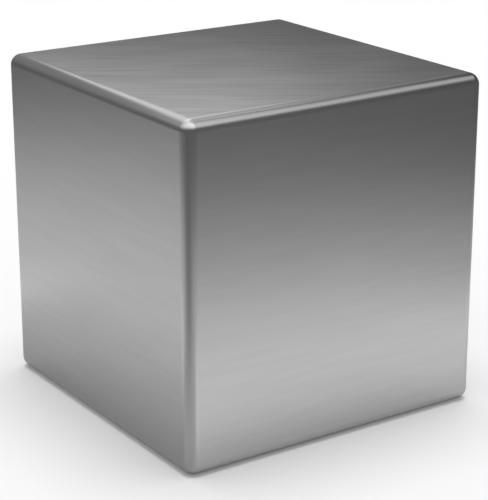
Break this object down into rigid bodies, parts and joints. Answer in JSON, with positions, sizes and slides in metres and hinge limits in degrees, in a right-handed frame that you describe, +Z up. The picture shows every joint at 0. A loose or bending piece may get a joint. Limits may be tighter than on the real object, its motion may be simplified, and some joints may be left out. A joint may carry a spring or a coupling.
{
  "type": "tungsten cube",
  "caption": "Solid ground tungsten cube with rounded edges, a dense desk weight that stands on any of its faces.",
  "frame": {"origin": "centre of the face that the cube rests on", "axes": "+Z up, square to the resting face; +X and +Y square to the side faces"},
  "size_m": [0.0382, 0.0382, 0.0381],
  "materials": {
    "ground_tungsten": null
  },
  "bodies": {
    "root": {"tungsten_cube": "ground_tungsten"}
  },
  "joints": []
}
